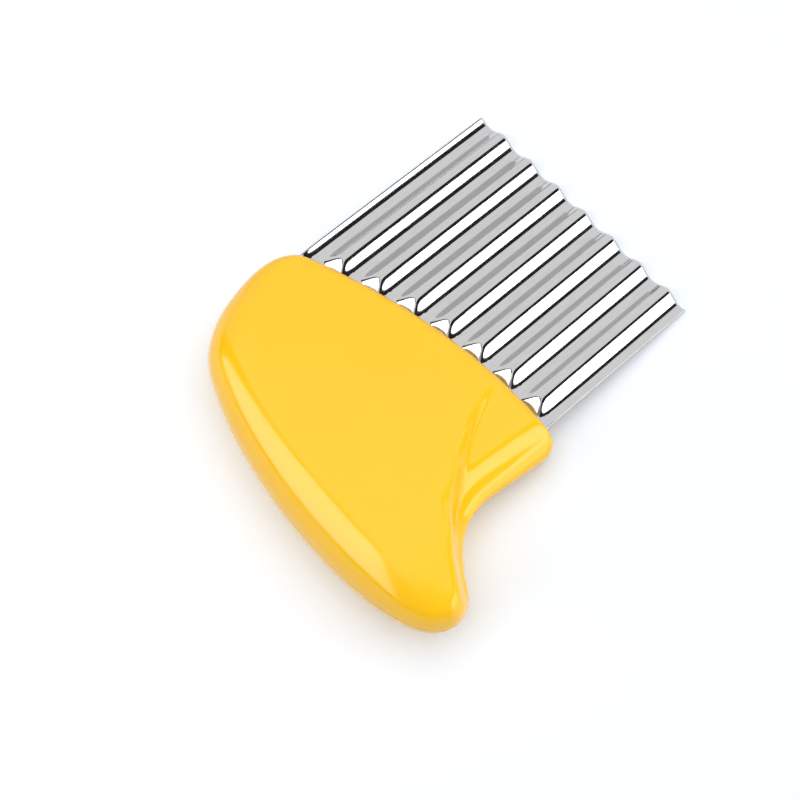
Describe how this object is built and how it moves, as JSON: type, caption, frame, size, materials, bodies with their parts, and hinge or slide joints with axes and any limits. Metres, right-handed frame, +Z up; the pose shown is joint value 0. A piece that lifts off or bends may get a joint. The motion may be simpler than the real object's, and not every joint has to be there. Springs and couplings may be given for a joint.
{
  "type": "crinkle cutter",
  "caption": "Crinkle cutter with a wavy polished steel blade set in the curved front of a glossy palm handle that has a stepped collar, a finger notch and a tail.",
  "frame": {"origin": "centre of the bounding box at the plane that the cutter lies on", "axes": "+X across the blade towards the collar and the tail, +Y from the palm to the cutting edge, +Z up out of the rest face"},
  "size_m": [0.095, 0.109, 0.0242],
  "materials": {
    "blade_steel": "polished",
    "upper_plastic": "glossy",
    "lower_plastic": "glossy"
  },
  "bodies": {
    "root": {"corrugated_blade": "blade_steel", "upper_handle_shell": "upper_plastic", "lower_handle_shell": "lower_plastic"}
  },
  "joints": []
}
